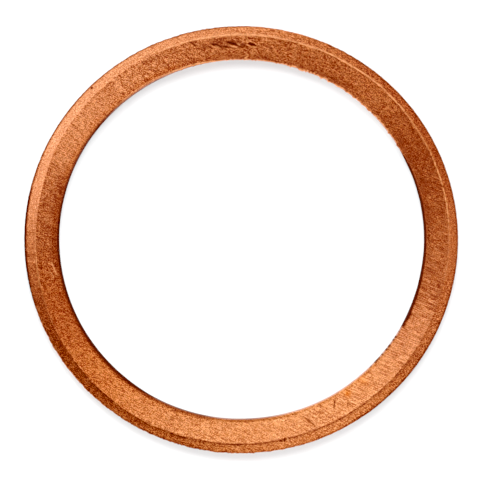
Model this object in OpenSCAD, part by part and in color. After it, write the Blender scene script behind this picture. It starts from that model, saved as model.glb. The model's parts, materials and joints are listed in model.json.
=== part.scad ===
// Flat copper sealing ring for the drain plug of an oil sump.
// The ring lies on its plain base face at z = 0, and the bore's axis is Z.
// It was punched and blanked from sheet: the seen face, on top, has the rolled outer edge
// and the torn end of the bore, and the base face has the rolled edge of the bore and the
// torn end of the outer wall.

/* [Ring] */
// Diameter of the bore, which goes over the plug's thread
bore_d = 24.3; // [16:0.1:40]
// Width of the ring, from the bore's wall to the outer wall
ring_width = 2.3; // [1.8:0.1:4]
// Thickness from face to face
thickness = 2; // [1.2:0.1:4]

/* [Rolled outer edge] */
// Width of the bevel, measured flat across the ring
bevel_width = 0.63; // [0.3:0.01:1]
// Slope of the bevel below the seen face, in degrees
bevel_angle = 24; // [10:1:35]
// Radius where the bevel turns down into the outer wall
rim_round = 0.2; // [0.05:0.01:0.4]

/* [Bore edges] */
// Radius of the bore's edge at the seen face
bore_round = 0.16; // [0.05:0.01:0.3]
// Radius of the bore's edge at the base face
bore_roll = 0.25; // [0.05:0.01:0.4]

/* [Torn bands of the walls] */
// Height of the band that tore when the wall was cut
tear_height = 0.45; // [0.2:0.05:0.6]
// How far the torn band leans away from the smooth wall
tear_lean = 0.04; // [0.01:0.01:0.1]
// Width of the broken outer edge at the base face
base_break = 0.08; // [0.02:0.01:0.2]

/* [Gouges in the seen face] */
// Width of a gouge where it is widest
gouge_width = 0.17; // [0.08:0.01:0.18]
// Depth of a gouge at its middle
gouge_depth = 0.04; // [0.02:0.01:0.06]

/* [Nick across the bevel's inner line] */
// Place of the nick round the ring, in degrees from +X
nick_angle = 282; // [0:1:359]
// Length of the tool's stroke, half of it over the bevel
nick_length = 0.6; // [0.3:0.02:0.8]
// Width of the nick where it is widest
nick_width = 0.13; // [0.06:0.01:0.2]
// Depth of the nick at its middle
nick_depth = 0.08; // [0.05:0.01:0.12]

/* [Hidden] */

copper = [0.79, 0.44, 0.24];
ring_facets = 240;
arc_facets = 64;
swing_facets = 720;

bore_r = bore_d / 2;
outside_r = bore_r + ring_width;
bevel_r = outside_r - bevel_width;
bevel_drop = bevel_width * tan(bevel_angle);
torn_bore_r = bore_r + tear_lean;
torn_outside_r = outside_r - tear_lean;

// One row for each gouge: its angle round the ring, how far its middle lies inward of the
// bevel, the heading of its length and that length
gouges = [
    [97.3, 0.51, -15, 0.75],
    [92.4, 0.56, -18, 1.0],
    [94.4, 0.74, -15, 0.5],
    [86.7, 0.6, -25, 0.5],
    [103.4, 0.28, -20, 0.3],
    [81.1, 0.72, -20, 0.3],
];

// The rest of a convex corner of the section that an arc of radius r cuts off, where p is
// the corner and a and b are the points before and after it
module outside_arc(a, p, b, r) {
    u = (a - p) / norm(a - p);
    v = (b - p) / norm(b - p);
    half = acos(u * v) / 2;
    reach = r / tan(half);
    inward = (u + v) / norm(u + v);
    centre = p + inward * r / sin(half);
    difference() {
        polygon([p + u * reach, p - inward * r, p + v * reach, centre]);
        translate(centre) circle(r = r, $fn = arc_facets);
    }
}

// Section of the ring, with the radius along X and the height along Y
module section() {
    bore_base = [bore_r, 0];
    bore_tear = [bore_r, thickness - tear_height];
    bore_top = [torn_bore_r, thickness];
    bevel_line = [bevel_r, thickness];
    rim = [outside_r, thickness - bevel_drop];
    wall_tear = [outside_r, tear_height];
    wall_break = [torn_outside_r, base_break];
    base_edge = [torn_outside_r - base_break, 0];
    difference() {
        polygon([bore_base, bore_tear, bore_top, bevel_line, rim, wall_tear, wall_break, base_edge]);
        outside_arc(base_edge, bore_base, bore_tear, bore_roll);
        outside_arc(bore_tear, bore_top, bevel_line, bore_round);
        outside_arc(bevel_line, rim, wall_tear, rim_round);
    }
}

// A round-nosed tool swung in an upright circle, which leaves a canoe-shaped mark of this
// length, width and depth in a face at z = 0, along X
module swung_mark(length, width, depth) {
    swing_r = (pow(length / 2, 2) + pow(depth, 2)) / (2 * depth);
    nose_r = (pow(width / 2, 2) + pow(depth, 2)) / (2 * depth);
    translate([0, 0, swing_r - depth])
        rotate([90, 0, 0])
        rotate_extrude($fn = swing_facets)
        translate([swing_r - nose_r, 0])
        circle(r = nose_r, $fn = arc_facets);
}

module gouge(angle, inset, heading, length) {
    rotate([0, 0, angle])
        translate([bevel_r - inset, 0, thickness])
        rotate([0, 0, heading - angle])
        swung_mark(length, gouge_width, gouge_depth);
}

// The nick's tool leans halfway between the seen face and the bevel
module nick() {
    rotate([0, 0, nick_angle])
        translate([bevel_r, 0, thickness])
        rotate([0, bevel_angle / 2, 0])
        swung_mark(nick_length, nick_width, nick_depth);
}

module washer() {
    color(copper) difference() {
        rotate_extrude($fn = ring_facets) section();
        for (mark = gouges) gouge(mark[0], mark[1], mark[2], mark[3]);
        nick();
    }
}

washer();
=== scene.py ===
"""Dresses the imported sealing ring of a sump's drain plug and lays it on a pale floor.

The ring is one dense mesh, built round the bore's axis from its own section. Its wear is
relief in that mesh: gouges, the ridge and the groove along the bevel's inner line, the torn
edge of the bore and the nicked rim. Lengths are in metres, and in millimetres in the tables of
marks and wear. Angles round the ring are counted from +X towards +Y.
"""
import json
import math
from collections import namedtuple

import bpy
import numpy as np
from bpy.props import FloatProperty, FloatVectorProperty, IntProperty, PointerProperty
from bpy.types import Operator, Panel, PropertyGroup
from mathutils import Color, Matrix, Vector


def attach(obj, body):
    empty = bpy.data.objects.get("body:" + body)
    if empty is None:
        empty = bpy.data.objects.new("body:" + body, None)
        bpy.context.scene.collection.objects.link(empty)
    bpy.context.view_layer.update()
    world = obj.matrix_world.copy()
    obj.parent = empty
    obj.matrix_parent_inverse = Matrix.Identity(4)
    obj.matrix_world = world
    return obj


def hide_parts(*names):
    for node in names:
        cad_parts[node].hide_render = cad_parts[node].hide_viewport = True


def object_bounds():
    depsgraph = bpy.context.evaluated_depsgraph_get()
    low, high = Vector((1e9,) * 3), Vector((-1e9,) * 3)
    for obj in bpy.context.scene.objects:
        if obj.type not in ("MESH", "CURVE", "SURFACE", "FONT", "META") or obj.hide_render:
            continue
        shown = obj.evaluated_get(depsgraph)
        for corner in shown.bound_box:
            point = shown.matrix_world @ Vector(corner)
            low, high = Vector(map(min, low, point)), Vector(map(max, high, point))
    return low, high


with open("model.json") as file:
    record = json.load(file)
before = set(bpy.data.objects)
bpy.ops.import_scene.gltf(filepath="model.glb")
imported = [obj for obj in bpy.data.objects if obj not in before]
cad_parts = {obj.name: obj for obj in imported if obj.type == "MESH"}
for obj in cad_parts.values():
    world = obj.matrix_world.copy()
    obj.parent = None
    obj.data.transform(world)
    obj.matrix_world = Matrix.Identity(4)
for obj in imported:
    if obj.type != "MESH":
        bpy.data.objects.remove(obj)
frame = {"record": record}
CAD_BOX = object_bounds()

bl_info = {
    "name": "Copper sealing ring",
    "version": (1, 0, 0),
    "blender": (4, 5, 0),
    "location": "3D View > Sidebar > Ring",
    "description": "Builds a worn copper sealing ring and the floor, lights and camera round it",
    "category": "Object",
}

MM = 0.001
BODY = "root"
CAD_NODE = "washer"
PLUG_BORE = next(m for m in frame["record"]["mounts"] if m["name"] == "plug_bore")
BORE_RADIUS = PLUG_BORE["dims"]["r_mm"] * MM
OUTSIDE_RADIUS = CAD_BOX[1].x
THICKNESS = CAD_BOX[1].z

# Parts of the section: the walls and the base, then what the camera sees, from the bore outward
WALL, BORE_EDGE, FACE, BEVEL, RIM = range(5)

# How many lines of the mesh each stretch of the section has
ROLL_LINES = 4
WALL_LINES = 2
EDGE_LINES = 5
FACE_LINES = 26
CREASE_LINES = 3
BEVEL_LINES = 8

# Width of the close lines on each side of the bevel's inner line
CREASE = 0.06 * MM

# A mark in the seen face: where it is (angle, and inset from the outer wall), which way it
# runs, its length and width, its depth (below zero where metal stands up), how much soot lies
# in it, and how much fresh metal with a painted highlight it shows
Mark = namedtuple("Mark", "angle inset heading length width depth soot glint")
MARKS = [
    Mark(94.0, 1.15, -9, 2.90, 0.64, 0.006, 0.5, 0.0),
    Mark(101.5, 1.05, -14, 1.90, 0.50, 0.004, 0.35, 0.0),
    Mark(114.5, 0.90, 25, 2.60, 0.44, 0.004, 0.30, 0.0),
    Mark(89.4, 1.24, -18, 0.50, 0.17, 0.025, 0.85, 0.0),
    Mark(90.2, 1.30, -12, 1.20, 0.24, 0.010, 0.6, 0.0),
    Mark(82.7, 0.80, -68, 0.26, 0.10, -0.010, 0.0, 0.6),
    Mark(97.4, 1.16, -15, 0.90, 0.23, 0.040, 1.0, 0.0),
    Mark(92.4, 1.16, -16, 1.06, 0.25, 0.045, 1.0, 0.0),
    Mark(94.4, 1.34, -15, 0.66, 0.18, 0.035, 0.9, 0.0),
    Mark(96.4, 1.30, -12, 0.56, 0.13, 0.020, 0.9, 0.0),
    Mark(98.9, 1.24, -12, 0.50, 0.12, 0.020, 0.8, 0.0),
    Mark(93.2, 1.03, -8, 0.56, 0.12, 0.020, 0.8, 0.0),
    Mark(90.2, 1.28, -24, 0.50, 0.12, 0.020, 0.8, 0.0),
    Mark(88.0, 1.36, -20, 0.44, 0.12, 0.020, 0.7, 0.0),
    Mark(100.6, 1.10, -22, 0.50, 0.12, 0.020, 0.7, 0.0),
    Mark(102.0, 1.26, -16, 0.44, 0.11, 0.020, 0.6, 0.0),
    Mark(95.6, 1.05, -33, 0.34, 0.14, 0.020, 0.8, 0.0),
    Mark(98.8, 1.02, -25, 0.36, 0.12, 0.020, 0.7, 0.0),
    Mark(90.4, 1.08, -22, 0.36, 0.12, 0.020, 0.7, 0.0),
    Mark(84.9, 1.24, -20, 0.40, 0.10, 0.020, 0.6, 0.0),
    Mark(92.1, 1.35, -8, 0.56, 0.10, -0.012, 0.0, 0.85),
    Mark(90.7, 1.22, -26, 0.30, 0.10, -0.010, 0.0, 0.5),
    Mark(97.0, 1.27, -14, 0.36, 0.10, -0.010, 0.0, 0.35),
    Mark(86.7, 1.21, -25, 0.66, 0.27, 0.045, 1.0, 0.0),
    Mark(88.6, 1.14, -23, 0.36, 0.14, 0.025, 0.7, 0.0),
    Mark(86.0, 1.36, -22, 0.40, 0.10, -0.010, 0.0, 0.6),
    Mark(81.1, 1.32, -20, 0.28, 0.18, 0.030, 0.8, 0.0),
    Mark(104.2, 0.71, -12, 0.42, 0.13, 0.030, 0.9, 0.0),
    Mark(103.4, 0.90, -20, 0.34, 0.16, 0.030, 0.9, 0.0),
    Mark(118.8, 1.66, -10, 0.40, 0.11, 0.030, 0.7, 0.0),
    Mark(121.0, 1.63, 5, 0.28, 0.10, 0.025, 0.7, 0.0),
    Mark(119.9, 1.72, -8, 0.30, 0.12, -0.012, 0.0, 0.6),
    Mark(111.3, 0.72, -18, 0.30, 0.08, 0.020, 0.6, 0.0),
    Mark(114.6, 0.75, -20, 0.34, 0.08, 0.020, 0.6, 0.0),
    Mark(118.3, 0.76, -22, 0.34, 0.09, 0.025, 0.7, 0.0),
    Mark(134.5, 0.16, 40, 0.24, 0.22, 0.030, 0.9, 0.0),
    Mark(282.3, 0.62, -84, 0.46, 0.15, 0.060, 0.9, 0.0),
    Mark(281.2, 0.58, -140, 0.34, 0.14, 0.020, 0.8, 0.0),
    Mark(283.2, 0.56, -75, 0.30, 0.11, -0.010, 0.0, 0.8),
    Mark(299.9, 1.80, 82, 0.80, 0.13, 0.020, 0.85, 0.0),
    Mark(303.2, 1.31, 90, 0.60, 0.12, 0.014, 0.6, 0.0),
    Mark(290.9, 1.30, -38, 1.45, 0.11, 0.020, 0.75, 0.0),
    Mark(290.9, 0.86, -20, 0.30, 0.08, -0.012, 0.0, 0.7),
    Mark(297.1, 0.87, 60, 0.20, 0.12, 0.020, 0.6, 0.0),
    Mark(294.0, 1.41, -35, 0.24, 0.10, 0.018, 0.5, 0.0),
    Mark(283.9, 1.87, 20, 0.20, 0.12, 0.020, 0.6, 0.0),
    Mark(188.8, 1.88, -67, 1.15, 0.09, -0.010, 0.0, 0.7),
    Mark(188.2, 1.83, -76, 0.75, 0.09, -0.010, 0.0, 0.4),
    Mark(187.0, 1.62, -40, 0.50, 0.10, -0.010, 0.0, 0.25),
    Mark(190.6, 1.70, -62, 0.60, 0.10, -0.010, 0.0, 0.35),
    Mark(88.4, 2.09, 33, 0.36, 0.08, -0.040, 0.0, 1.0),
    Mark(300.1, 0.17, -60, 0.14, 0.11, -0.020, 0.0, 1.0),
    Mark(301.2, 0.20, -60, 0.12, 0.09, -0.020, 0.0, 0.8),
    Mark(296.7, 0.18, -65, 0.14, 0.10, -0.020, 0.0, 0.9),
    Mark(294.0, 0.20, -65, 0.12, 0.09, -0.020, 0.0, 0.8),
]

# How soon soot and fresh metal with its painted highlight fill a mark inward of its edge
MARK_FILL = 2.2

# A mark deeper than this throws up a lip of metal on both sides: how high it is, how bright the
# painted highlight on its far side is, and where it stands and how far it reaches, in half
# widths of the mark
DEEP_MARK = 0.025
MARK_LIP_HEIGHT = 0.006
MARK_LIP_GLINT = 0.25
MARK_LIP_PLACE = 1.25
MARK_LIP_REACH = 0.3

# The tables below whose names end in ARCS say how strong something is round the ring: rows of
# strength, start, end and soft stretch, in degrees, that add up. These are two such stretches.
ALL_ROUND = (-2, 362, 2)
RAGGED = (27, 75, 10)

# Lines of the section, in millimetres: how far the bevel's width, the bore and the rim depart
# from their plain places
BEVEL_ARCS = [
    (0.035, 52, 102, 16), (0.025, 26, 82, 12), (-0.03, 100, 118, 8), (-0.062, 118, 158, 8),
    (-0.015, 125, 145, 10), (0.04, 158, 170, 8), (0.085, 170, 190, 10), (0.06, 190, 200, 6),
    (0.045, 200, 220, 6), (0.03, 220, 236, 8), (-0.016, 234, 247, 6), (-0.008, 262, 278, 6),
    (0.03, 278, 352, 10)]
BORE_ARCS = [
    (0.012, 142, 162, 8), (-0.02, 66, 96, 10), (-0.034, 24, 42, 8), (-0.016, 40, 52, 8),
    (-0.016, 98, 114, 6), (-0.018, 334, 354, 6), (-0.004, 125, 236, 16), (-0.004, 185, 232, 16),
    (0.024, 236, 268, 10), (-0.018, 304, 326, 10), (-0.012, 54, 112, 8)]
RIM_ARCS = [(-0.02, 174, 210, 10), (-0.02, 225, 282, 16), (-0.015, 290, 350, 20)]

# How the bevel's width swings once and twice in a turn, in millimetres: along X, and across it
BEVEL_SWING_ONCE = (-0.054, -0.034)
BEVEL_SWING_TWICE = (0.013, -0.057)

# Relief: the rim's nicks, the torn edge of the bore, its teeth and its lip, and the ridge and
# the groove along the bevel's inner line, with the place and the reach of the ridge's crest. The
# lip's and the ridge's tables also set their painted highlight, and the groove's table its
# darkening by dirt and painted shade
ROUGH_RIM_ARCS = [(0.2, *ALL_ROUND), (0.5, 198, 288, 16), (0.3, 55, 125, 20)]
TORN_ARCS = [(1.0, 27, 112, 6)]
TOOTH_ARCS = [(0.75, *ALL_ROUND), (0.5, *RAGGED)]
LIP_ARCS = [
    (1.0, 34, 112, 6), (0.7, 52, 68, 6), (1.2, 68, 98, 6), (0.6, 98, 114, 6), (0.6, 112, 132, 6),
    (0.7, 284, 326, 12)]
LIP_LINE_ARCS = [(0.01, *ALL_ROUND), (0.09, 100, 134, 6)]
LIP_EVEN_ARCS = [(0.35, *ALL_ROUND), (0.1, *RAGGED)]
LIP_TUFT_ARCS = [(0.25, *ALL_ROUND), (0.4, *RAGGED)]
TUFT_REACH_ARCS = [(0.045, *RAGGED)]
RIDGE_ARCS = [
    (0.5, -12, 7, 6), (1.25, 7, 24, 6), (0.8, 24, 36, 6), (1.45, 36, 74, 6), (0.75, 74, 99, 6),
    (0.65, 99, 112, 5), (0.22, 176, 203, 6), (0.3, 181, 194, 4)]
BEAD_ARCS = [(0.45, -12, 48, 10)]
CREST_ARCS = [(0.02, *ALL_ROUND), (0.03, 80, 100, 8)]
CREST_REACH_ARCS = [(0.045, *ALL_ROUND), (0.035, 80, 100, 8)]
GROOVE_ARCS = [(0.3, 235, 249, 6), (0.75, 251, 314, 14), (0.4, 314, 348, 10), (0.3, 262, 312, 10)]

# Painted shade: on the bevel, in a band and a wider shade along the bore, and as dots there; and
# a darker band on the rim. The bands' reaches are in millimetres, and the steepness is of the
# band's outer edge.
BEVEL_SHADE_ARCS = [
    (0.6, 214, 262, 12), (-0.15, 235, 245, 6), (0.28, 216, 232, 6), (0.25, 248, 262, 8),
    (0.4, 262, 278, 8), (0.08, 278, 306, 10), (0.62, 306, 332, 14)]
BORE_BAND_SHADE_ARCS = [
    (0.42, 112, 138, 8), (0.6, 138, 262, 8), (0.32, 262, 282, 8), (0.1, 318, 328, 8),
    (0.9, 333, 374, 6), (-0.05, 143, 160, 8), (0.6, 374, 388, 8), (0.1, 174, 238, 12),
    (0.15, 212, 236, 8), (-0.14, 238, 266, 8)]
THIN_BAND_ARCS = [
    (1.0, 108, 127, 8), (0.8, 314, 333, 6), (0.5, 336, 352, 6), (0.6, 352, 392, 8),
    (0.12, 143, 160, 8)]
STEEP_BAND_ARCS = [(1.9, *ALL_ROUND), (1.3, 314, 392, 8)]
DOT_ARCS = [(1.0, 316, 335, 8)]
BORE_SHADE_ARCS = [
    (0.3, 328, 402, 24), (0.2, 52, 72, 8), (0.45, 152, 206, 24), (0.35, 56, 128, 16)]
RIM_DARK_ARCS = [
    (0.15, *ALL_ROUND), (0.5, 128, 205, 20), (0.8, 170, 194, 10), (0.45, 85, 128, 16),
    (0.25, 232, 262, 12), (0.4, 300, 425, 16), (0.1, 300, 350, 12)]
RIM_REACH_ARCS = [(0.17, *ALL_ROUND), (0.04, 158, 192, 8)]

# The metal's grain and tone: straight scratches, grit on the whole ring and how much more of it
# the bevel has, the share of light specks, how much painted light and shade lighten and darken
# the face and the bevel, stains of the face and of its margin along the bore, and the gold tint
# of the ring and of the bore's edge. The margin's stains don't add up: the stronger one shows.
STREAK_ARCS = [(0.3, *ALL_ROUND), (0.8, 262, 304, 10), (1.5, 303, 348, 10), (0.6, 118, 172, 12)]
GRIT_ARCS = [
    (0.5, *ALL_ROUND), (0.3, 38, 170, 12), (0.22, 170, 345, 14), (0.12, 78, 122, 10),
    (0.15, 118, 132, 8), (0.15, 225, 265, 14), (-0.12, 264, 302, 10), (-0.22, 303, 348, 10),
    (-0.12, 348, 392, 12), (-0.14, 130, 172, 10), (0.12, 215, 262, 12), (0.08, 78, 122, 10)]
BEVEL_GRIT_ARCS = [
    (0.45, 8, 40, 12), (0.4, 40, 92, 12), (-0.4, 100, 200, 12), (0.5, 214, 262, 10),
    (0.2, 262, 350, 10), (0.3, 290, 340, 10)]
SPECK_ARCS = [
    (0.5, *ALL_ROUND), (0.5, 24, 84, 12), (0.4, 130, 205, 16), (0.6, 205, 242, 14),
    (-0.4, 250, 346, 16)]
PAINTED_LIGHT_ARCS = [
    (0.06, 226, 335, 14), (-0.04, 2, 22, 8), (-0.07, 20, 38, 8), (0.07, 40, 54, 8),
    (-0.05, 54, 100, 10), (-0.05, 158, 173, 6), (-0.06, 186, 206, 8), (-0.05, 206, 246, 10),
    (0.1, 140, 158, 8), (-0.13, 160, 190, 8), (0.02, 262, 345, 10), (-0.05, 84, 128, 10),
    (-0.08, 338, 353, 6)]
BEVEL_PAINTED_LIGHT_ARCS = [(-0.13, 198, 256, 12), (-0.06, 36, 62, 10)]
MARGIN_STAINS = [(0.27, 100, 250, 30), (0.45, 108, 126, 8)]
FACE_STAIN_ARCS = [(0.33, 188, 238, 20)]
GOLD_ARCS = [(0.35, 212, 322, 14)]
EDGE_GOLD_ARCS = [(0.5, 262, 328, 10)]

# Unevenness round the ring: rows of strength, cells in a turn and seed, which add up
NICK_WAVES = [(0.8, 790, 11), (0.2, 310, 12)]
BEVEL_WAVES = [(0.012, 90, 13), (0.008, 400, 14)]
TOOTH_WAVES = [(0.7, 700, 15), (0.3, 260, 16)]
CLUMP_WAVES = [(0.5, 110, 26)]
RIDGE_WAVES = [(0.32, 560, 21)]
BEAD_WAVES = [(1.0, 880, 27)]
CREST_WAVES = [(0.015, 420, 28)]
GROOVE_WAVES = [(0.2, 160, 22)]
TUFT_WAVES = [(0.9, 620, 23)]
DOT_WAVES = [(2.5, 900, 25)]
SHADE_WAVES = [(0.3, 210, 24)]

# Unevenness over the plane of the ring, out to the reach: rows of strength, size of a cell in
# millimetres and seed, which add up. The last one is relief in millimetres.
NOISE_REACH = OUTSIDE_RADIUS * 1.1
FRAY_PATCHES = [(0.4, 0.12, 35)]
BLOTCH_PATCHES = [(0.6, 0.22, 34)]
GRAIN_PATCHES = [(0.0012, 0.11, 31), (0.002, 0.35, 32)]

# The torn edge: how much of its round and lean it loses, how far all its teeth stand out, how
# long the longest is, and the lip's height, reach and share of tufts
TORN_SHARPNESS = 0.6
TOOTH_ROOT = 0.4
LONGEST_TOOTH = 1.4
LIP_HEIGHT = 0.012
LIP_REACH = 0.05
TUFT_SHARE = 0.5

# How whole the ridge and the groove are, and the groove's place, reach and darkening by dirt
# and painted shade
RIDGE_WHOLE = 0.68
GROOVE_WHOLE = 0.8
GROOVE_PLACE = 0.03
GROOVE_REACH = 0.11
GROOVE_DIRT_AND_SHADE = 0.82

# Reaches of the painted shade, of the rim's darker band and of the gold, in millimetres: on the
# bevel, from the bore and how much less where it is thin, the start and the reach of the bore's
# shade, the softness of the rim's band and the gold along the bore. Last, how strong the dots are
# on the seen face and on the wall.
BEVEL_SHADE_REACH = 0.32
BORE_BAND_REACH = 0.35
THIN_BAND_LESS = 0.24
BORE_SHADE_START = 0.2
BORE_SHADE_REACH = 0.55
RIM_DARK_SOFT = 0.1
EDGE_GOLD_REACH = 0.3
FACE_DOTS = 0.75
WALL_DOTS = 0.5

# Small flecks of painted highlight and bare metal along a line: the middle and the reach of their
# band, how hard and how far up the noise is cut, the size of a cell, the seed, and how strong they are
Flecks = namedtuple("Flecks", "line middle reach gain cut cell seed arcs")
FLECKS = [
    Flecks("lip", 0.0, 0.13, 2.6, 0.7, 0.11, 33, [(0.75, *RAGGED)]),
    Flecks("rim", 0.1, 0.13, 2.8, 0.9, 0.1, 36, [(0.42, 194, 242, 10)]),
]

# The margin of the seen face along the bore: the middle and the reach of its band
MARGIN_PLACE = 0.32
MARGIN_REACH = 0.16

# Bands of painted light and painted shade along a line: the middle and the reach of each, and
# how much paler it is
ToneBand = namedtuple("ToneBand", "line middle reach arcs")
TONE_BANDS = [
    ToneBand("lip", MARGIN_PLACE, MARGIN_REACH, [(0.14, 262, 352, 10)]),
    ToneBand("line", -0.1, 0.05, [(-0.12, 44, 114, 8)]),
    ToneBand("lip", 0.5, 0.2, [(-0.08, 20, 56, 10)]),
    ToneBand("lip", 0.68, 0.16, [(0.07, 222, 278, 10)]),
    ToneBand("line", -0.22, 0.16, [
        (-0.09, 334, 358, 8), (-0.09, 200, 216, 8), (-0.09, 113, 126, 6), (-0.09, 308, 322, 8)]),
]

# A round stain: its angle, its inset from the outer wall, how far it reaches and how strong it is
StainSpot = namedtuple("StainSpot", "angle inset reach strength")
STAIN_SPOTS = [StainSpot(304.7, 1.92, 0.25, 0.95), StainSpot(311.0, 1.93, 0.34, 0.5)]

# The maps of wear that the mesh carries to its materials. The soot map also holds painted shade,
# the bare metal map holds painted highlights, and the lift map is painted light and shade
WEAR_MAPS = ("soot", "glint", "stain", "grit", "streaks", "specks", "lift", "gold")


class RingSizes(PropertyGroup):
    """Sizes of the ring's section and of its wear."""

    columns: IntProperty(name="Columns", description="Steps round the ring", default=1580, min=64)
    bevel_width: FloatProperty(
        name="Bevel width", description="Width of the bevel, flat across the ring",
        default=0.63 * MM, unit="LENGTH", precision=5)
    bevel_angle: FloatProperty(
        name="Bevel slope", description="Slope of the bevel below the seen face",
        default=math.radians(24), subtype="ANGLE")
    rim_round: FloatProperty(
        name="Rim round", description="Radius where the bevel turns into the outer wall",
        default=0.2 * MM, unit="LENGTH", precision=5)
    bore_round: FloatProperty(
        name="Bore round", description="Radius of the bore's edge at the seen face",
        default=0.16 * MM, unit="LENGTH", precision=5)
    bore_roll: FloatProperty(
        name="Bore roll", description="Radius of the bore's edge at the base face",
        default=0.25 * MM, unit="LENGTH", precision=5)
    tear_height: FloatProperty(
        name="Tear height", description="Height of the torn band of each wall",
        default=0.45 * MM, unit="LENGTH", precision=5)
    tear_lean: FloatProperty(
        name="Tear lean", description="How far the torn band leans away from the smooth wall",
        default=0.04 * MM, unit="LENGTH", precision=5)
    base_break: FloatProperty(
        name="Base break", description="Width of the broken outer edge at the base face",
        default=0.08 * MM, unit="LENGTH", precision=5)
    out_of_round: FloatProperty(
        name="Out of round", description="How far the ring bulges along X and draws in along Y",
        default=0.107 * MM, unit="LENGTH", precision=6)
    bore_shift: FloatVectorProperty(
        name="Bore shift", description="How far the bore lies off the outer wall's centre",
        default=(0.038 * MM, 0.04 * MM), size=2, unit="LENGTH", precision=6)
    ridge_height: FloatProperty(
        name="Ridge height", description="Height of the burr along the bevel's inner line",
        default=0.006 * MM, unit="LENGTH", precision=6)
    groove_depth: FloatProperty(
        name="Groove depth", description="Depth of the groove along the bevel's inner line",
        default=0.018 * MM, unit="LENGTH", precision=6)
    wall_back: FloatProperty(
        name="Wall back", description="How far the bore's wall stands back under its torn lip",
        default=0.045 * MM, unit="LENGTH", precision=6)
    fringe: FloatProperty(
        name="Fringe", description="How far the torn teeth of the bore's edge reach",
        default=0.09 * MM, unit="LENGTH", precision=6)
    rim_nicks: FloatProperty(
        name="Rim nicks", description="How deep the small nicks of the rim are",
        default=0.045 * MM, unit="LENGTH", precision=6)
    swell: FloatProperty(
        name="Swell", description="How far the crushed outer wall stands past the solid's",
        default=0.022 * MM, unit="LENGTH", precision=6)


class CopperLook(PropertyGroup):
    """Colours and fineness of the copper."""

    copper: FloatVectorProperty(
        name="Copper", description="Colour of the lapped metal",
        default=(0.45, 0.145, 0.077), size=3, subtype="COLOR", min=0, max=1)
    # The bare metal colour is also the colour of painted highlights on the ridge, the bore's lip, the
    # flecks and the marks
    glint: FloatVectorProperty(
        name="Bare metal", description="Colour where a burr or a scratch shows bare metal",
        default=(1.0, 0.36, 0.17), size=3, subtype="COLOR", min=0, max=1)
    # The soot colour is also the colour of the painted shade on the bevel and along the bore, of the
    # groove's dirt and painted shade, and of the rim's darker band
    soot: FloatVectorProperty(
        name="Soot", description="Colour of the dirt in gouges and grooves",
        default=(0.065, 0.0225, 0.017), size=3, subtype="COLOR", min=0, max=1)
    stain: FloatVectorProperty(
        name="Stain", description="Tint of the heat and oil stains over the metal",
        default=(0.88, 0.62, 0.42), size=3, subtype="COLOR", min=0, max=1)
    gold: FloatVectorProperty(
        name="Gold", description="Tint of the yellower stretch of the metal",
        default=(1.0, 1.0, 0.81), size=3, subtype="COLOR", min=0, max=1)
    grain_size: FloatProperty(
        name="Grain size", description="Size of the finest grain of the metal",
        default=0.062 * MM, unit="LENGTH", precision=6)
    roughness: FloatProperty(
        name="Roughness", description="Roughness of the lapped face",
        default=0.34, min=0, max=1)
    lay: FloatProperty(
        name="Lay", description="How far the face's finest scratches run round the ring",
        default=0.6, min=0, max=1)
    scratch_heading: FloatProperty(
        name="Scratch heading", description="Direction of the straight scratches",
        default=math.radians(-25), subtype="ANGLE")
    scratch_depth: FloatProperty(
        name="Scratch depth", description="Depth of the straight scratches",
        default=0.006 * MM, unit="LENGTH", precision=6)


class StageSetup(PropertyGroup):
    """Floor, lights and camera."""

    camera_height: FloatProperty(
        name="Camera height", description="Height of the camera above the seen face",
        default=0.6, unit="LENGTH")
    view_width: FloatProperty(
        name="View width", description="Width of the picture at the seen face",
        default=32.2 * MM, unit="LENGTH", precision=5)
    view_shift: FloatVectorProperty(
        name="View shift", description="Where the camera stands, from the ring's axis",
        default=(-0.07 * MM, -0.008 * MM), size=2, unit="LENGTH", precision=6)
    floor_size: FloatProperty(
        name="Floor size", description="Side of the square floor",
        default=1.2, unit="LENGTH")
    floor_tone: FloatProperty(
        name="Floor tone", description="How pale the floor is",
        default=0.653, min=0, max=1)
    floor_glow: FloatVectorProperty(
        name="Floor glow", description="Light that shines through the floor from below",
        default=(0.225, 0.24, 0.25), size=3, subtype="COLOR", min=0)
    skylight: FloatProperty(
        name="Skylight", description="Power of the floor's own light, in watts",
        default=2.36, min=0)
    room_glow: FloatProperty(
        name="Room glow", description="Strength of the even light from all round",
        default=0.0, min=0)


# The functions below take the angles round the ring as one column, so what they give has a row
# for each angle, and a column for each line of the mesh where it differs from line to line

def clamp(values):
    """Values held between 0 and 1."""
    return np.clip(values, 0, 1)


def smooth(share):
    """A share from 0 to 1 that starts and ends softly."""
    return share * share * (3 - 2 * share)


def turns_noise(angles, cells, seed):
    """Smooth noise from -1 to 1 that closes on itself after a full turn."""
    knots = np.random.default_rng(seed).uniform(-1, 1, cells)
    place = angles / math.tau * cells
    left = np.floor(place).astype(int)
    share = smooth(place - left)
    return knots[left % cells] * (1 - share) + knots[(left + 1) % cells] * share


def patch_noise(x, y, cell, seed):
    """Smooth noise from -1 to 1 over the plane of the ring, in cells of one size."""
    side = int(2 * NOISE_REACH / cell) + 3
    knots = np.random.default_rng(seed).uniform(-1, 1, (side, side))
    u = (x + NOISE_REACH) / cell
    v = (y + NOISE_REACH) / cell
    i = np.floor(u).astype(int)
    j = np.floor(v).astype(int)
    a = smooth(u - i)
    b = smooth(v - j)
    near = knots[i, j] * (1 - a) + knots[i + 1, j] * a
    far = knots[i, j + 1] * (1 - a) + knots[i + 1, j + 1] * a
    return near * (1 - b) + far * b


def arc_window(angles, start, end, soft):
    """1 between two angles and 0 outside them, in degrees, fading over the soft stretch."""
    half = (end - start) / 2
    away = np.abs((np.degrees(angles) - (start + half) + 180) % 360 - 180)
    return clamp((half + soft / 2 - away) / soft)


def arcs(angles, rows):
    """The sum of a table's arcs at each angle."""
    return sum(strength * arc_window(angles, *ends) for strength, *ends in rows)


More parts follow.
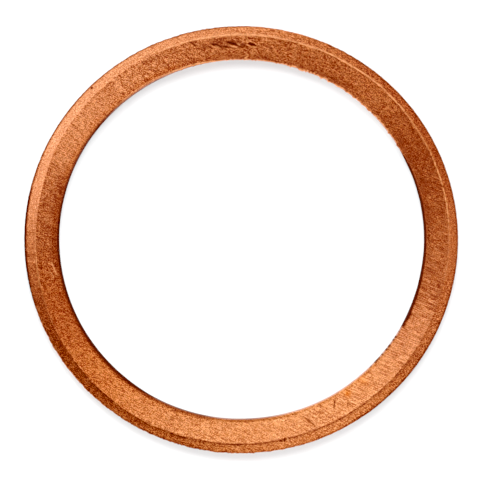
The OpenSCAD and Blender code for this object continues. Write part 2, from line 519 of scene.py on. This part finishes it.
def waves(angles, rows):
    """The sum of a table's noises round the ring."""
    return sum(strength * turns_noise(angles, cells, seed) for strength, cells, seed in rows)


def patches(x, y, rows):
    """The sum of a table's noises over the plane of the ring."""
    return sum(strength * patch_noise(x, y, cell * MM, seed) for strength, cell, seed in rows)


def swing(angles, turns, along, across):
    """A wave that comes this many times in a turn, from its height along X and across it."""
    return along * np.cos(turns * angles) + across * np.sin(turns * angles)


def band(distance, middle, reach):
    """1 along the middle of a band, fading to both sides over its reach."""
    return np.exp(-((distance - middle) / reach) ** 2)


def fade(distance, start, reach):
    """1 as far as the start, and from there fading to 0 over the reach."""
    return clamp(1 - (distance - start) / reach)


def ring_lines(sizes, angles):
    """Radii of the bore's wall, its torn lip, the bevel's inner line and the rim."""
    bulge = swing(angles, 2, sizes.out_of_round, 0)
    shift = swing(angles, 1, *sizes.bore_shift) + MM * arcs(angles, BORE_ARCS)
    nicks = arcs(angles, ROUGH_RIM_ARCS) * waves(angles, NICK_WAVES)
    rim = OUTSIDE_RADIUS + bulge + sizes.swell + MM * arcs(angles, RIM_ARCS) + sizes.rim_nicks * nicks
    swings = swing(angles, 2, *BEVEL_SWING_TWICE) + swing(angles, 1, *BEVEL_SWING_ONCE)
    width = sizes.bevel_width + MM * (swings + waves(angles, BEVEL_WAVES) + arcs(angles, BEVEL_ARCS))
    bevel = OUTSIDE_RADIUS + bulge - width
    torn = arcs(angles, TORN_ARCS)
    bore = BORE_RADIUS + bulge + shift + sizes.wall_back * torn
    teeth = waves(angles, TOOTH_WAVES) * arcs(angles, TOOTH_ARCS) * (1 + waves(angles, CLUMP_WAVES))
    lip = bore - sizes.fringe * torn * np.clip(teeth + TOOTH_ROOT, 0, LONGEST_TOOTH)
    return bore, lip, bevel, rim


def run(start, end, lines):
    """Places from one point of the section to the next, leaving out the last one."""
    share = np.arange(lines) / lines
    return start * (1 - share) + end * share


def sweep(centre, radius, first, last, lines):
    """Places on an arc from one bearing to another, in degrees, leaving out the last one."""
    bearings = np.radians(np.linspace(first, last, lines, endpoint=False))
    return centre[0] + radius * np.cos(bearings), centre[1] + radius * np.sin(bearings)


def ring_section(sizes, angles):
    """Part, radii and heights of the mesh's lines, and the radii of its lip, line and rim."""
    bore, lip, bevel, rim = ring_lines(sizes, angles)
    roll = sizes.bore_roll
    sharp = 1 - TORN_SHARPNESS * arcs(angles, TORN_ARCS)
    bore_round = sizes.bore_round * sharp
    torn_lip = lip + sizes.tear_lean * sharp
    edge = torn_lip + bore_round
    edge_height = THICKNESS - bore_round
    tear = THICKNESS - sizes.tear_height

    slope = sizes.bevel_angle
    crease_height = THICKNESS - CREASE * math.tan(slope)
    rim_reach = sizes.rim_round / math.tan((math.pi / 2 + slope) / 2)
    foot = rim - rim_reach * math.cos(slope)
    foot_height = THICKNESS - (foot - bevel) * math.tan(slope)
    wall_top = THICKNESS - (rim - bevel) * math.tan(slope) - rim_reach
    rim_centre = (rim - sizes.rim_round, wall_top)
    torn_rim = rim - sizes.tear_lean
    base_edge = torn_rim - sizes.base_break
    stretches = []

    def add(part, radii, heights):
        parts = np.full(radii.shape[1], part)
        stretches.append((parts, radii, np.broadcast_to(heights, radii.shape)))

    def add_run(part, start, end, lines):
        add(part, run(start[0], end[0], lines), run(start[1], end[1], lines))

    add(WALL, *sweep((bore + roll, roll), roll, 270, 180, ROLL_LINES))
    add_run(WALL, (bore, roll), (bore, tear), WALL_LINES)
    add_run(WALL, (bore, tear), (torn_lip, edge_height), WALL_LINES)
    add(BORE_EDGE, *sweep((edge, edge_height), bore_round, 180, 90, EDGE_LINES))
    add_run(FACE, (edge, THICKNESS), (bevel - CREASE, THICKNESS), FACE_LINES)
    add_run(FACE, (bevel - CREASE, THICKNESS), (bevel, THICKNESS), CREASE_LINES)
    add_run(BEVEL, (bevel, THICKNESS), (bevel + CREASE, crease_height), CREASE_LINES)
    add_run(BEVEL, (bevel + CREASE, crease_height), (foot, foot_height), BEVEL_LINES)
    add(RIM, *sweep(rim_centre, sizes.rim_round, 90 - math.degrees(slope), 0, ROLL_LINES))
    add_run(WALL, (rim, wall_top), (rim, sizes.tear_height), WALL_LINES)
    for radius, height in ((rim, sizes.tear_height), (torn_rim, sizes.base_break), (base_edge, 0)):
        add(WALL, radius, height)
    part, radii, heights = (np.concatenate(pieces, axis=-1) for pieces in zip(*stretches))
    return part, radii, heights, (lip, bevel, rim)


class RingWear:
    """Wear of the ring, with painted light and shade: its relief, and how much of each kind lies at
    each point of the mesh.
    """

    def __init__(self, sizes, angles, part, radii, lines):
        lip, line, rim = lines
        self.sizes = sizes
        self.angles = angles
        self.part = part
        self.x = radii * np.cos(angles)
        self.y = radii * np.sin(angles)
        # How far outward of the bore's lip and the bevel's line, and how far inward of the rim
        self.off = {"lip": radii - lip, "line": radii - line, "rim": rim - radii}
        self.rise = np.zeros_like(radii)
        self.soot = np.zeros_like(radii)
        self.glint = np.zeros_like(radii)
        self.stain = np.zeros_like(radii)

    def arcs(self, rows):
        return arcs(self.angles, rows)

    def waves(self, rows):
        return waves(self.angles, rows)

    def patches(self, rows):
        return patches(self.x, self.y, rows)

    def band(self, line, middle, reach):
        return band(self.off[line], middle * MM, reach * MM)

    def fade(self, line, start, reach):
        return fade(self.off[line], start * MM, reach * MM)

    def darken(self, soot):
        self.soot = np.maximum(self.soot, soot)

    def shine(self, glint):
        self.glint = np.maximum(self.glint, glint)

    def tint(self, stain):
        self.stain = np.maximum(self.stain, stain)

    def mark_shape(self, mark):
        """How full a mark is, from 0 round it to 1 at its middle, and the place along and across."""
        turn = math.radians(mark.angle)
        heading = math.radians(mark.heading)
        radius = OUTSIDE_RADIUS + self.sizes.out_of_round * math.cos(2 * turn) - mark.inset * MM
        dx = self.x - radius * math.cos(turn)
        dy = self.y - radius * math.sin(turn)
        along = (dx * math.cos(heading) + dy * math.sin(heading)) / (mark.length * MM / 2)
        across = (dy * math.cos(heading) - dx * math.sin(heading)) / (mark.width * MM / 2)
        return clamp(1 - along ** 2 - across ** 2), along, across

    def press_marks(self):
        """Gouges and scratches, with soot in them, and small curls of metal that stand up, with a
        painted highlight on the curls and on one side of each deep mark's lip.
        """
        frayed = 1 + self.patches(FRAY_PATCHES)
        for mark in MARKS:
            shape, along, across = self.mark_shape(mark)
            self.rise -= mark.depth * MM * shape
            if mark.depth > DEEP_MARK:
                lip = band(np.abs(across), MARK_LIP_PLACE, MARK_LIP_REACH) * clamp(1 - along ** 2)
                self.rise += MARK_LIP_HEIGHT * MM * lip
                # A painted highlight on the lip's far side only
                self.shine(MARK_LIP_GLINT * lip * (across < 0))
            filled = MARK_FILL * shape
            self.darken(mark.soot * clamp(filled * frayed))
            self.shine(mark.glint * clamp(filled))

    def raise_ridge(self):
        """The broken and beaded burr along the bevel's inner line, with a painted highlight along it.
        """
        whole = RIDGE_WHOLE + self.waves(RIDGE_WAVES) + self.arcs(BEAD_ARCS) * self.waves(BEAD_WAVES)
        crest = MM * (self.arcs(CREST_ARCS) + self.waves(CREST_WAVES))
        crest_reach = MM * self.arcs(CREST_REACH_ARCS)
        ridge = band(self.off["line"], crest, crest_reach) * (self.arcs(RIDGE_ARCS) * whole)
        self.rise += self.sizes.ridge_height * ridge
        # A painted highlight along the burr
        self.shine(ridge)

    def sink_groove(self):
        """The groove along the bevel's inner line, darkened by dirt and painted shade."""
        whole = GROOVE_WHOLE + self.waves(GROOVE_WAVES)
        groove = self.band("line", GROOVE_PLACE, GROOVE_REACH) * (self.arcs(GROOVE_ARCS) * whole)
        self.rise -= self.sizes.groove_depth * groove
        # The groove darkened by dirt and painted shade
        self.darken(GROOVE_DIRT_AND_SHADE * groove)

    def shade_bevel(self):
        """Blotchy painted shade on the bevel, below its inner line."""
        below = self.fade("line", 0, BEVEL_SHADE_REACH) * (self.off["line"] > 0)
        blotches = 1 + self.patches(BLOTCH_PATCHES)
        # Painted shade on the bevel, darkest at its inner line
        self.darken(below * blotches * self.arcs(BEVEL_SHADE_ARCS))

    def curl_lip(self):
        """The lip of the bore's torn edge, in tufts, with a painted highlight along it."""
        tufts = clamp(TUFT_SHARE + self.waves(TUFT_WAVES))
        bright = self.arcs(LIP_EVEN_ARCS) + self.arcs(LIP_TUFT_ARCS) * tufts
        reach = MM * (LIP_REACH + self.arcs(TUFT_REACH_ARCS) * tufts)
        lip = band(self.off["lip"], MM * self.arcs(LIP_LINE_ARCS), reach)
        lip = lip * (self.arcs(LIP_ARCS) * bright)
        self.rise += LIP_HEIGHT * MM * lip
        # A painted highlight along the torn lip
        self.shine(lip)

    def scatter_flecks(self):
        """Flecks of painted highlight and bare metal along the bore's lip and the rim."""
        for row in FLECKS:
            noise = patch_noise(self.x, self.y, row.cell * MM, row.seed)
            flecks = clamp(row.gain * noise - row.cut)
            # Flecks of painted highlight and bare metal
            self.shine(flecks * self.band(row.line, row.middle, row.reach) * self.arcs(row.arcs))

    def shade_bore(self):
        """A band of painted shade along the bore, and a wider painted shade."""
        dots = clamp(self.waves(DOT_WAVES)) * self.arcs(DOT_ARCS)
        dots = dots * np.where(self.part > WALL, FACE_DOTS, WALL_DOTS)
        darkening = clamp(self.arcs(BORE_BAND_SHADE_ARCS) + dots)
        reach = MM * (BORE_BAND_REACH - THIN_BAND_LESS * self.arcs(THIN_BAND_ARCS))
        # Painted shade in a band along the bore, with dots
        self.darken(clamp(self.arcs(STEEP_BAND_ARCS) * (1 - self.off["lip"] / reach) * darkening))
        shade = self.fade("lip", BORE_SHADE_START, BORE_SHADE_REACH) * self.arcs(BORE_SHADE_ARCS)
        # A wider painted shade along the bore
        self.darken(shade * (1 + self.waves(SHADE_WAVES)))

    def darken_rim(self):
        """A darker band round the rim."""
        reach = MM * self.arcs(RIM_REACH_ARCS)
        darkening = clamp((reach - self.off["rim"]) / (RIM_DARK_SOFT * MM))
        # The rim's darker band
        self.darken(darkening * clamp(self.arcs(RIM_DARK_ARCS)))

    def lay_stains(self):
        """Stains along the bore, over a stretch of the face and in round spots."""
        margin = self.band("lip", MARGIN_PLACE, MARGIN_REACH)
        for row in MARGIN_STAINS:
            self.tint(margin * self.arcs([row]))
        self.tint(self.arcs(FACE_STAIN_ARCS) * (self.part < BEVEL))
        for spot in STAIN_SPOTS:
            turn = math.radians(spot.angle)
            radius = OUTSIDE_RADIUS - spot.inset * MM
            gap = np.hypot(self.x - radius * math.cos(turn), self.y - radius * math.sin(turn))
            self.tint(spot.strength * band(gap, 0, spot.reach * MM))

    def roughen(self):
        """The fine unevenness of the metal."""
        self.rise += MM * self.patches(GRAIN_PATCHES)

    def grit(self):
        """How gritty the metal is."""
        return self.arcs(GRIT_ARCS) * (1 + self.arcs(BEVEL_GRIT_ARCS) * (self.part > FACE))

    def lift(self):
        """How much painted light and shade lighten and darken the metal."""
        lift = self.arcs(PAINTED_LIGHT_ARCS) * (self.part == FACE)
        lift = lift + self.arcs(BEVEL_PAINTED_LIGHT_ARCS) * (self.part > FACE)
        for row in TONE_BANDS:
            lift = lift + self.band(row.line, row.middle, row.reach) * self.arcs(row.arcs)
        return lift

    def gold(self):
        """How gold the metal is."""
        return self.arcs(GOLD_ARCS) + self.fade("lip", 0, EDGE_GOLD_REACH) * self.arcs(EDGE_GOLD_ARCS)

    def apply(self):
        """Relief of the seen side, and the maps of wear and of painted light and shade."""
        self.press_marks()
        self.raise_ridge()
        self.sink_groove()
        self.shade_bevel()
        self.curl_lip()
        self.scatter_flecks()
        self.shade_bore()
        self.darken_rim()
        self.lay_stains()
        self.roughen()
        seen = self.part > WALL
        maps = (
            self.soot, self.glint * seen, self.stain, self.grit(), self.arcs(STREAK_ARCS),
            self.arcs(SPECK_ARCS), self.lift(), self.gold())
        return self.rise * seen, dict(zip(WEAR_MAPS, maps))


def ring_mesh(sizes):
    """The ring as a closed mesh with the maps of its wear and painted light and shade, and the part of
    each of its faces.
    """
    columns = sizes.columns
    angles = np.arange(columns)[:, None] / columns * math.tau
    part, radii, heights, lines = ring_section(sizes, angles)
    rise, maps = RingWear(sizes, angles, part, radii, lines).apply()
    points = np.stack([radii * np.cos(angles), radii * np.sin(angles), heights + rise], axis=-1)
    rows = len(part)
    column = np.arange(columns)[:, None]
    row = np.arange(rows)
    after = (column + 1) % columns
    upper = (row + 1) % rows
    quads = np.stack([
        column * rows + row, column * rows + upper, after * rows + upper, after * rows + row], axis=-1)
    mesh = bpy.data.meshes.new("copper_ring")
    mesh.from_pydata(points.reshape(-1, 3).tolist(), [], quads.reshape(-1, 4).tolist())
    mesh.update()
    for name, values in maps.items():
        layer = mesh.attributes.new(name, "FLOAT", "POINT")
        values = np.broadcast_to(values, radii.shape).astype(np.float32)
        layer.data.foreach_set("value", values.reshape(-1))
    return mesh, np.tile(part, columns)


class Shade:
    """A number socket of a sheet of nodes, on which Python's operators add Math nodes."""

    def __init__(self, sheet, socket):
        self.sheet = sheet
        self.socket = socket

    def math(self, operation, *values):
        return self.sheet.value("ShaderNodeMath", {"operation": operation}, dict(enumerate(values)))

    def __add__(self, other):
        return self.math("ADD", self, other)

    __radd__ = __add__

    def __sub__(self, other):
        return self.math("SUBTRACT", self, other)

    def __rsub__(self, other):
        return self.math("SUBTRACT", other, self)

    def __mul__(self, other):
        return self.math("MULTIPLY", self, other)

    __rmul__ = __mul__

    def above_zero(self):
        return self.math("MAXIMUM", self, 0.0)

    def centred(self):
        """A noise's value from its middle."""
        return self - 0.5


# Sockets of a Mix node for colours
MIX_FACTOR, MIX_FIRST, MIX_SECOND, MIX_RESULT = 0, 6, 7, 2


class Sheet:
    """The nodes of one material or world, emptied first."""

    def __init__(self, owner):
        owner.use_nodes = True
        self.tree = owner.node_tree
        self.tree.nodes.clear()

    def node(self, kind, settings=None, inputs=None):
        """A node of this kind, with its settings made first and then its sockets fed."""
        made = self.tree.nodes.new(kind)
        for name, setting in (settings or {}).items():
            setattr(made, name, setting)
        for name, value in (inputs or {}).items():
            socket = made.inputs[name]
            if isinstance(value, Shade):
                value = value.socket
            if isinstance(value, bpy.types.NodeSocket):
                self.tree.links.new(value, socket)
            else:
                socket.default_value = value
        return made

    def value(self, kind, settings=None, inputs=None, output=0):
        return Shade(self, self.node(kind, settings, inputs).outputs[output])

    def mix(self, share, first, second, blend="MIX"):
        """One colour between a socket's colour and another colour."""
        made = self.node(
            "ShaderNodeMix", {"data_type": "RGBA", "blend_type": blend},
            {MIX_FACTOR: share, MIX_FIRST: first})
        if isinstance(second, bpy.types.NodeSocket):
            self.tree.links.new(second, made.inputs[MIX_SECOND])
        else:
            made.inputs[MIX_SECOND].default_value = (*second, 1.0)
        return made.outputs[MIX_RESULT]

    def ramp(self, place, stops):
        """A colour by a place from 0 to 1, between stops that each have a place and a colour."""
        made = self.node("ShaderNodeValToRGB", None, {"Fac": place})
        elements = made.color_ramp.elements
        for position, colour in stops[1:-1]:
            elements.new(position)
        for element, (position, colour) in zip(elements, stops):
            element.position = position
            element.color = (*colour, 1.0)
        return made.outputs[0]


# Stops of the copper's tones, as shares of its colour, and of the tints of its tarnish
COPPER_TONES = [
    (0.0, (0.46, 0.45, 0.52)), (0.4, (1.0, 1.0, 1.0)), (0.8, (1.85, 1.87, 1.7)), (1.0, (2.2, 2.3, 2.1))]
TARNISH_TINTS = [(0.0, (1.0, 0.86, 0.74)), (0.5, (1.0, 0.93, 0.87)), (1.0, (1.0, 1.0, 1.0))]
TONE_RANGE = 0.8
TARNISH_RANGE = 1.4

# Noises of the metal: whether their cells follow the scratches, the cells' turn from there or
# from +X, their length and width in grains, and how much finer detail they have
MetalNoise = namedtuple("MetalNoise", "name follows turn length width detail")
METAL_NOISES = [
    MetalNoise("long_cut", True, 0.0, 16, 0.95, 0.0),
    MetalNoise("fibre", True, 0.0, 4.2, 0.8, 0.0),
    MetalNoise("grain", False, 0.6, 0.82, 0.82, 0.0),
    MetalNoise("spark", False, 0.9, 1.2, 0.9, 0.0),
    MetalNoise("crossing", True, 1.2, 2.4, 0.72, 0.0),
    MetalNoise("tarnish", False, 0.4, 2.6, 2.2, 1.0),
    MetalNoise("patch", False, 0.7, 24, 15, 2.0),
]

# The tone of even copper, and how strongly each noise changes it
EVEN_TONE = 0.485
GRAIN_TONE = 3.3
FIBRE_TONE = 2.0
CROSSING_TONE = 1.1
PATCH_TONE = 0.15

# Above and below what value of their noise the light and the dark specks lie, and their strength
LIGHT_SPECK_CUT = 0.62
LIGHT_SPECK_TONE = 6.0
DARK_SPECK_CUT = 0.38
DARK_SPECK_TONE = 4.5

# How fully soot with painted shade and bare metal with painted highlights cover the copper, how
# much caked soot and painted shade dull it, how much rougher the grain and caked soot and painted
# shade make it, and how deep fibres, grain and burrs are beside a long cut
COVER = 0.95
CAKED_DULLS = 0.8
GRAIN_ROUGHENS = 0.2
CAKED_ROUGHENS = 0.2
FIBRE_DEPTH = 0.8
GRAIN_DEPTH = 0.5
BURR_DEPTH = 4.0

# The turn of the shader's highlights that makes the lay run round the ring, in full turns
LAY_TURN = 0.25

# A finish of the copper: how much rougher than the lapped face it is, its share of the face's
# lay, and how rough its burrs are
Finish = namedtuple("Finish", "name rougher lay burrs")
ROLLED = Finish("rolled_copper", 0.08, 0.0, 0.52)
LAPPED = Finish("lapped_copper", 0.0, 1.0, 0.68)


def copper(finish, look):
    """Worn copper, with fine straight scratches and the colours of the mesh's wear, painted shade,
    painted highlights and painted light and shade.
    """
    material = bpy.data.materials.new(finish.name)
    sheet = Sheet(material)
    place = sheet.node("ShaderNodeTexCoord").outputs["Object"]

    def metal_noise(row):
        heading = row.turn + row.follows * look.scratch_heading
        length = row.length * look.grain_size
        width = row.width * look.grain_size
        stretched = sheet.node(
            "ShaderNodeMapping", {"vector_type": "TEXTURE"},
            {"Vector": place, "Rotation": (0, 0, heading), "Scale": (length, width, width)})
        return sheet.value(
            "ShaderNodeTexNoise", {"noise_dimensions": "3D"},
            {"Vector": stretched.outputs[0], "Scale": 1.0, "Detail": row.detail, "Roughness": 0.5})

    def wear_map(name):
        return sheet.value("ShaderNodeAttribute", {"attribute_name": name}, output="Fac")

    long_cut, fibre, grain, spark, crossing, tarnish, patch = map(metal_noise, METAL_NOISES)
    soot, glint, stain, grit, streaks, specks, lift, gold = map(wear_map, WEAR_MAPS)

    fine = (
        grain.centred() * GRAIN_TONE + fibre.centred() * FIBRE_TONE
        + crossing.centred() * CROSSING_TONE)
    light_specks = (spark - LIGHT_SPECK_CUT).above_zero() * specks * LIGHT_SPECK_TONE
    dark_specks = (DARK_SPECK_CUT - spark).above_zero() * (1 - specks) * DARK_SPECK_TONE
    # The lift adds painted light and shade to the tone
    tone = (
        fine * grit + long_cut.centred() * streaks + patch.centred() * PATCH_TONE
        + light_specks - dark_specks + lift + EVEN_TONE)
    tones = [(stop, np.multiply(look.copper, shares)) for stop, shares in COPPER_TONES]
    colour = sheet.ramp(tone * TONE_RANGE, tones)
    tints = sheet.ramp(tarnish.centred() * TARNISH_RANGE + 0.5, TARNISH_TINTS)
    colour = sheet.mix(1.0, colour, tints, "MULTIPLY")
    colour = sheet.mix(gold, colour, look.gold, "MULTIPLY")
    colour = sheet.mix(stain, colour, look.stain, "MULTIPLY")
    # Soot and painted shade darken the colour, and then bare metal and painted highlights lighten it
    colour = sheet.mix(soot * COVER, colour, look.soot)
    colour = sheet.mix(glint * COVER, colour, look.glint)

    roughness = look.roughness + finish.rougher
    caked = soot * soot
    rough = (
        roughness + grain.centred() * GRAIN_ROUGHENS + caked * CAKED_ROUGHENS
        + glint * (finish.burrs - roughness))
    height = long_cut + fibre * FIBRE_DEPTH + grain * GRAIN_DEPTH + spark * glint * BURR_DEPTH
    bump = sheet.node(
        "ShaderNodeBump", None, {"Height": height, "Distance": look.scratch_depth, "Strength": 1.0})
    shader = sheet.node(
        "ShaderNodeBsdfPrincipled", None,
        {"Base Color": colour, "Metallic": 1 - caked * CAKED_DULLS, "Roughness": rough,
         "Anisotropic": look.lay * finish.lay, "Anisotropic Rotation": LAY_TURN,
         "Specular IOR Level": 0.0, "Normal": bump.outputs[0]})
    sheet.node("ShaderNodeOutputMaterial", None, {"Surface": shader.outputs[0]})
    return material


class RING_OT_build(Operator):
    """Build the worn copper ring in place of its plain solid"""

    bl_idname = "ring.build"
    bl_label = "Build the ring"

    def execute(self, context):
        mesh, part = ring_mesh(context.scene.ring_sizes)
        for finish in (ROLLED, LAPPED):
            mesh.materials.append(copper(finish, context.scene.copper_look))
        mesh.polygons.foreach_set("material_index", (part == FACE).astype(np.int32))
        mesh.shade_smooth()
        ring = bpy.data.objects.new("copper_ring", mesh)
        context.scene.collection.objects.link(ring)
        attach(ring, BODY)
        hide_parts(CAD_NODE)
        return {"FINISHED"}


# The picture's tones follow film: each time the light in the scene grows e times, the screen
# gains this share of its levels. The tone curve has points at black, at these lights and at white.
FILM_GAIN = 70 / 255
TONE_LIGHTS = (0.05, 0.1, 0.2, 0.3, 0.4, 0.6, 0.8)

# Which of the view's curves bends all colours together
ALL_COLOURS = 3

# How far the floor lies below the ring, the camera's film width in millimetres, and how near it
# sees
FLOOR_DROP = 0.01 * MM
FILM_WIDTH = 36
NEAREST = 0.01

# A soft light: its bearing round the ring and its height, in degrees, its distance, its side,
# its power and its tint. A program chose these lights and fitted them to the photograph, and
# some tints were then drawn toward white. They are still to be set by hand.
SoftLight = namedtuple("SoftLight", "name bearing height distance side power tint")
SOFT_LIGHTS = [
    SoftLight("window_right", 90, 25, 0.5, 0.25, 0.464, (1, 0.98, 0.94)),
    SoftLight("window_low", 120, 25, 0.5, 0.25, 0.594, (1, 1.04, 1.01)),
    SoftLight("window_high", 140, 42, 0.5, 0.18, 0.145, (1, 1.15, 1.15)),
    SoftLight("window_left", 160, 42, 0.5, 0.18, 0.494, (1, 0.99, 1.01)),
    SoftLight("window_over", 60, 55, 0.5, 0.2, 0.141, (1, 0.95, 1.06)),
    SoftLight("wall_right", 30, 25, 0.5, 0.25, 0.0788, (1, 0.8, 0.8)),
    SoftLight("fill_front", 280, 42, 0.5, 0.18, 0.2, (1, 0.96, 0.95)),
    SoftLight("fill_high", 300, 42, 0.5, 0.18, 0.1, (1, 0.97, 0.9)),
    SoftLight("fill_right", 340, 42, 0.5, 0.18, 0.0583, (1, 1, 1)),
    SoftLight("card_right", 0, 35, 0.12, 0.05, 0.01, (1, 0.92, 0.9)),
    SoftLight("card_back", 45, 35, 0.12, 0.05, 0.00401, (1, 0.86, 0.85)),
    SoftLight("card_over_back", 135, 60, 0.12, 0.05, 0.0222, (1, 1.02, 1.06)),
    SoftLight("card_over_left", 225, 60, 0.12, 0.05, 0.0129, (1, 0.95, 1.02)),
    SoftLight("card_over_front", 270, 60, 0.12, 0.05, 0.0196, (1, 1.02, 0.96)),
    SoftLight("card_over_right", 315, 60, 0.12, 0.05, 0.0319, (1, 1, 1)),
    SoftLight("card_overhead", 270, 78, 0.12, 0.05, 0.00986, (1, 1, 1)),
]

# This one lights only the floor, past the ring's shadow. Its power here is a share of the one
# in the stage's setup.
SKYLIGHT = SoftLight("skylight", 90, 72, 0.5, 0.2, 1.0, (1, 1, 1))


def film_tone(light):
    """How bright the screen shows a light in the scene, with white as 1 in both."""
    level = 1 + FILM_GAIN * math.log(light)
    return Color((level, level, level)).from_srgb_to_scene_linear().r


class RING_OT_stage(Operator):
    """Lay the pale floor and set the soft lights and the camera"""

    bl_idname = "ring.stage"
    bl_label = "Set the stage"

    def execute(self, context):
        scene = context.scene
        setup = scene.ring_stage
        floor = self.lay_floor(scene, setup)
        for light in SOFT_LIGHTS:
            self.hang_light(scene, light)
        skylight = self.hang_light(scene, SKYLIGHT, setup.skylight)
        lit = bpy.data.collections.new("lit_by_skylight")
        lit.objects.link(floor)
        skylight.light_linking.receiver_collection = lit
        self.light_room(scene, setup)
        self.set_camera(scene, setup)
        self.set_tones(scene)
        return {"FINISHED"}

    def lay_floor(self, scene, setup):
        half = setup.floor_size / 2
        sides = ((-half, -half), (half, -half), (half, half), (-half, half))
        mesh = bpy.data.meshes.new("floor")
        mesh.from_pydata([(x, y, -FLOOR_DROP) for x, y in sides], [], [(0, 1, 2, 3)])
        material = bpy.data.materials.new("floor_paint")
        sheet = Sheet(material)
        tone = setup.floor_tone
        paint = sheet.node(
            "ShaderNodeBsdfPrincipled", None,
            {"Base Color": (tone, tone, tone, 1), "Roughness": 1.0, "Specular IOR Level": 0.0,
             "Emission Color": (*setup.floor_glow, 1), "Emission Strength": 1.0})
        sheet.node("ShaderNodeOutputMaterial", None, {"Surface": paint.outputs[0]})
        mesh.materials.append(material)
        floor = bpy.data.objects.new("floor", mesh)
        scene.collection.objects.link(floor)
        return floor

    def hang_light(self, scene, light, strength=1.0):
        lamp = bpy.data.lights.new(light.name, "AREA")
        lamp.shape = "DISK"
        lamp.size = light.side
        lamp.energy = light.power * strength
        lamp.color = light.tint
        held = bpy.data.objects.new(light.name, lamp)
        bearing = math.radians(light.bearing)
        height = math.radians(light.height)
        held.location = (
            light.distance * math.cos(height) * math.cos(bearing),
            light.distance * math.cos(height) * math.sin(bearing),
            light.distance * math.sin(height))
        held.rotation_euler = (0, math.pi / 2 - height, bearing)
        held.visible_camera = False
        scene.collection.objects.link(held)
        return held

    def light_room(self, scene, setup):
        world = bpy.data.worlds.new("room")
        sheet = Sheet(world)
        glow = sheet.node(
            "ShaderNodeBackground", None, {"Color": (1, 1, 1, 1), "Strength": setup.room_glow})
        sheet.node("ShaderNodeOutputWorld", None, {"Surface": glow.outputs[0]})
        scene.world = world

    def set_tones(self, scene):
        """Darken the deep tones and lift the middle ones, as the photograph's film curve does."""
        view = scene.view_settings
        view.view_transform = "Standard"
        view.use_curve_mapping = True
        curve = view.curve_mapping.curves[ALL_COLOURS]
        curve.points[0].location = (math.exp(-1 / FILM_GAIN), 0)
        curve.points[1].location = (1, 1)
        for light in TONE_LIGHTS:
            curve.points.new(light, film_tone(light))
        view.curve_mapping.update()

    def set_camera(self, scene, setup):
        view = bpy.data.cameras.new("overhead")
        view.sensor_width = FILM_WIDTH
        view.lens = FILM_WIDTH * setup.camera_height / setup.view_width
        view.clip_start = NEAREST
        camera = bpy.data.objects.new("overhead", view)
        camera.location = (*setup.view_shift, THICKNESS + setup.camera_height)
        scene.collection.objects.link(camera)
        scene.camera = camera


class RING_PT_panel(Panel):
    """The ring's sizes, finish and stage"""

    bl_label = "Sealing ring"
    bl_idname = "RING_PT_panel"
    bl_space_type = "VIEW_3D"
    bl_region_type = "UI"
    bl_category = "Ring"

    def draw(self, context):
        for group in (context.scene.ring_sizes, context.scene.copper_look, context.scene.ring_stage):
            box = self.layout.box()
            for name in group.__annotations__:
                box.prop(group, name)
        self.layout.operator(RING_OT_build.bl_idname)
        self.layout.operator(RING_OT_stage.bl_idname)


CLASSES = (RingSizes, CopperLook, StageSetup, RING_OT_build, RING_OT_stage, RING_PT_panel)


def register():
    for made in CLASSES:
        bpy.utils.register_class(made)
    bpy.types.Scene.ring_sizes = PointerProperty(type=RingSizes)
    bpy.types.Scene.copper_look = PointerProperty(type=CopperLook)
    bpy.types.Scene.ring_stage = PointerProperty(type=StageSetup)


def unregister():
    del bpy.types.Scene.ring_stage
    del bpy.types.Scene.copper_look
    del bpy.types.Scene.ring_sizes
    for made in reversed(CLASSES):
        bpy.utils.unregister_class(made)


def main():
    register()
    bpy.ops.ring.build()
    bpy.ops.ring.stage()


if __name__ == "__main__":
    main()
